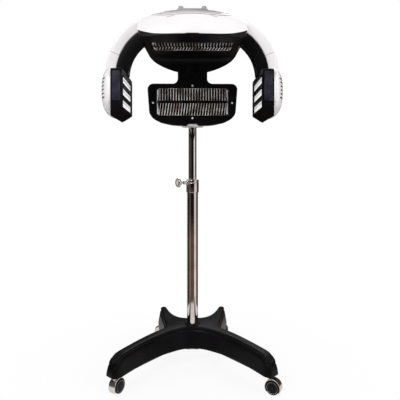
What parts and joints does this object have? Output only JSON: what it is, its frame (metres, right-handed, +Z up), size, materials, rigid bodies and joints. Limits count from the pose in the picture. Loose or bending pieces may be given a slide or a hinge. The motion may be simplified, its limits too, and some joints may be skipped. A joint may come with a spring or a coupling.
{
  "type": "salon hair color processor",
  "caption": "Free-standing salon hair processor: heat hood with sliding side lamps and a rear lamp on a height-adjustable chrome mast with a castered base.",
  "frame": {"origin": "on the floor under the middle of the bounding box", "axes": "+Z up, front of the hood towards -Y, +X to the viewer's right when looking at the front"},
  "size_m": [0.6705, 0.7112, 1.4443],
  "materials": {
    "white_plastic": "gloss",
    "black_plastic": "satin gloss",
    "chrome": "polished",
    "frame_steel": "satin",
    "reflector": "bright",
    "quartz": "gloss",
    "guard_wire": "satin",
    "grey_plastic": "matte",
    "wheel_rubber": "matte",
    "nylon": "matte",
    "circuit_board": "matte",
    "display_glass": "gloss"
  },
  "bodies": {
    "base": {"base_cover": "black_plastic", "base_frame": "frame_steel", "pole_socket": "frame_steel", "outer_tube": "chrome", "guide_bush": "nylon", "clamp_collar": "chrome"},
    "clamp": {"clamp_screw": "chrome", "clamp_knob": "chrome"},
    "mast": {"inner_tube": "chrome", "mast_slider": "nylon"},
    "head": {"mast_socket": "frame_steel", "spine_bracket": "frame_steel", "rear_cover": "white_plastic", "rear_panel": "black_plastic", "neck_cap": "black_plastic", "rear_reflector": "reflector", "rear_element_upper": "quartz", "rear_element_lower": "quartz", "rear_guard": "guard_wire", "hood_shell": "white_plastic", "underside_cover": "black_plastic", "top_reflector": "reflector", "top_element_front": "quartz", "top_element_rear": "quartz", "top_guard": "guard_wire", "arm_guide_left": "nylon", "arm_guide_right": "nylon", "control_panel": "grey_plastic", "display_window": "display_glass", "control_board": "circuit_board", "power_inlet": "black_plastic"},
    "timer_dial": {"timer_knob": "grey_plastic"},
    "heat_dial": {"heat_knob": "grey_plastic"},
    "switch": {"power_switch": "black_plastic"},
    "button": {"start_button": "grey_plastic"},
    "left_arm": {"arm_core_left": "black_plastic", "arm_cover_left": "white_plastic", "lamp_box_left": "black_plastic", "lamp_shell_left": "white_plastic", "lamp_reflector_left": "reflector", "lamp_tube_lower_left": "quartz", "lamp_tube_middle_left": "quartz", "lamp_tube_upper_left": "quartz"},
    "right_arm": {"arm_core_right": "black_plastic", "arm_cover_right": "white_plastic", "lamp_box_right": "black_plastic", "lamp_shell_right": "white_plastic", "lamp_reflector_right": "reflector", "lamp_tube_lower_right": "quartz", "lamp_tube_middle_right": "quartz", "lamp_tube_upper_right": "quartz"},
    "caster_front_left": {"caster_hood_front_left": "chrome"},
    "wheel_front_left": {"caster_wheel_front_left": "wheel_rubber"},
    "caster_front_right": {"caster_hood_front_right": "chrome"},
    "wheel_front_right": {"caster_wheel_front_right": "wheel_rubber"},
    "caster_rear_left": {"caster_hood_rear_left": "chrome"},
    "wheel_rear_left": {"caster_wheel_rear_left": "wheel_rubber"},
    "caster_rear_right": {"caster_hood_rear_right": "chrome"},
    "wheel_rear_right": {"caster_wheel_rear_right": "wheel_rubber"}
  },
  "joints": [
    {"name": "mast_slide", "type": "slide", "parent": "base", "child": "mast", "axis": [0, 0, 1], "range_m": [-0.2, 0.2]},
    {"name": "head_swivel", "type": "hinge", "parent": "mast", "child": "head", "pos_m": [0, 0.05339, 1.03], "axis": [0, 0, 1], "continuous": true},
    {"name": "clamp_turn", "type": "hinge", "parent": "base", "child": "clamp", "pos_m": [0, 0.05339, 0.772], "axis": [-0.891, -0.454, 0], "continuous": true},
    {"name": "right_arm_slide", "type": "hinge", "parent": "head", "child": "right_arm", "pos_m": [0.0887, -0.15461, 1.186], "axis": [0, 1, 0], "range_deg": [0, 12]},
    {"name": "left_arm_slide", "type": "hinge", "parent": "head", "child": "left_arm", "pos_m": [-0.0887, -0.15461, 1.186], "axis": [0, -1, 0], "range_deg": [0, 12]},
    {"name": "timer_turn", "type": "hinge", "parent": "head", "child": "timer_dial", "pos_m": [-0.044, -0.21861, 1.431], "axis": [0, 0, -1], "range_deg": [0, 300]},
    {"name": "heat_turn", "type": "hinge", "parent": "head", "child": "heat_dial", "pos_m": [0.044, -0.21861, 1.431], "axis": [0, 0, -1], "range_deg": [0, 270]},
    {"name": "switch_rock", "type": "hinge", "parent": "head", "child": "switch", "pos_m": [-0.018, -0.15861, 1.431], "axis": [1, 0, 0], "range_deg": [0, 14]},
    {"name": "button_press", "type": "slide", "parent": "head", "child": "button", "axis": [0, 0, -1], "range_m": [0, 0.002], "stiffness_N_per_m": 400},
    {"name": "swivel_front_left", "type": "hinge", "parent": "base", "child": "caster_front_left", "pos_m": [-0.288, -0.23961, 0.064], "axis": [0, 0, 1], "continuous": true},
    {"name": "roll_front_left", "type": "hinge", "parent": "caster_front_left", "child": "wheel_front_left", "pos_m": [-0.281, -0.22749, 0.026], "axis": [0.866, -0.5, 0], "continuous": true},
    {"name": "swivel_front_right", "type": "hinge", "parent": "base", "child": "caster_front_right", "pos_m": [0.288, -0.23961, 0.064], "axis": [0, 0, 1], "continuous": true},
    {"name": "roll_front_right", "type": "hinge", "parent": "caster_front_right", "child": "wheel_front_right", "pos_m": [0.30012, -0.24661, 0.026], "axis": [-0.5, -0.866, 0], "continuous": true},
    {"name": "swivel_rear_left", "type": "hinge", "parent": "base", "child": "caster_rear_left", "pos_m": [-0.142, 0.30739, 0.064], "axis": [0, 0, 1], "continuous": true},
    {"name": "roll_rear_left", "type": "hinge", "parent": "caster_rear_left", "child": "wheel_rear_left", "pos_m": [-0.15412, 0.31439, 0.026], "axis": [0.5, 0.866, 0], "continuous": true},
    {"name": "swivel_rear_right", "type": "hinge", "parent": "base", "child": "caster_rear_right", "pos_m": [0.142, 0.30739, 0.064], "axis": [0, 0, 1], "continuous": true},
    {"name": "roll_rear_right", "type": "hinge", "parent": "caster_rear_right", "child": "wheel_rear_right", "pos_m": [0.15043, 0.31857, 0.026], "axis": [0.7986, -0.6018, 0], "continuous": true}
  ]
}
